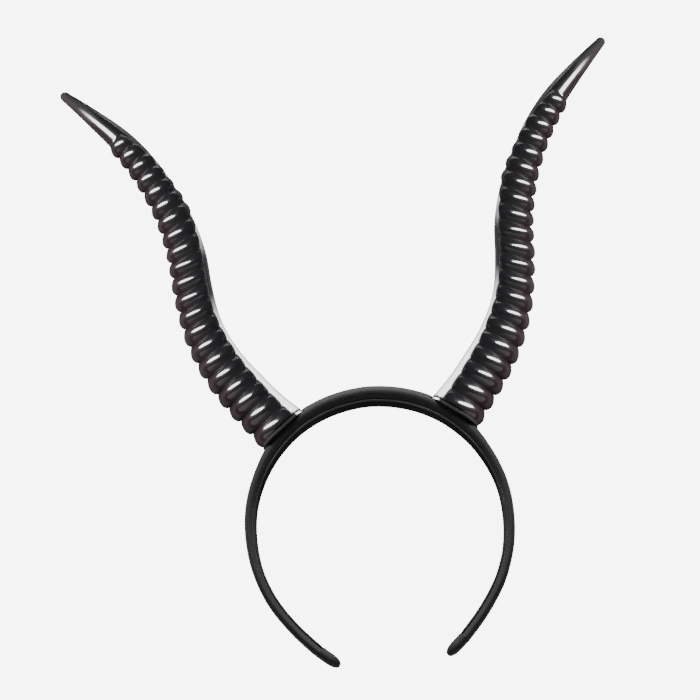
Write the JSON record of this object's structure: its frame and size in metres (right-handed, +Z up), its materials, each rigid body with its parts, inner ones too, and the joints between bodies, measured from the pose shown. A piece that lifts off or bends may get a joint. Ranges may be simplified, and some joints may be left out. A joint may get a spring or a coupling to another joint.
{
  "type": "horned headband",
  "caption": "Costume headband: a padded fabric arch that is open below, with tall S-curved horns moulded with rings and smooth tips.",
  "frame": {"origin": "on the floor, under the middle of the object as it lies on its horns' backs", "axes": "+Z up, +Y from the band's open ends towards the horns' tips, +X across the arch"},
  "size_m": [0.287, 0.3068, 0.0563],
  "materials": {
    "band_fabric": "matt black woven cover over thin padding",
    "lining_ribbon": "black ribbon with a fine crosswise rib",
    "base_plastic": "glossy black moulded plastic",
    "horn_plastic": "glossy black moulded plastic"
  },
  "bodies": {
    "root": {"band_cover": "band_fabric", "band_lining": "lining_ribbon", "horn_base_left": "base_plastic", "horn_base_right": "base_plastic", "horn_left": "horn_plastic", "horn_right": "horn_plastic"}
  },
  "joints": []
}
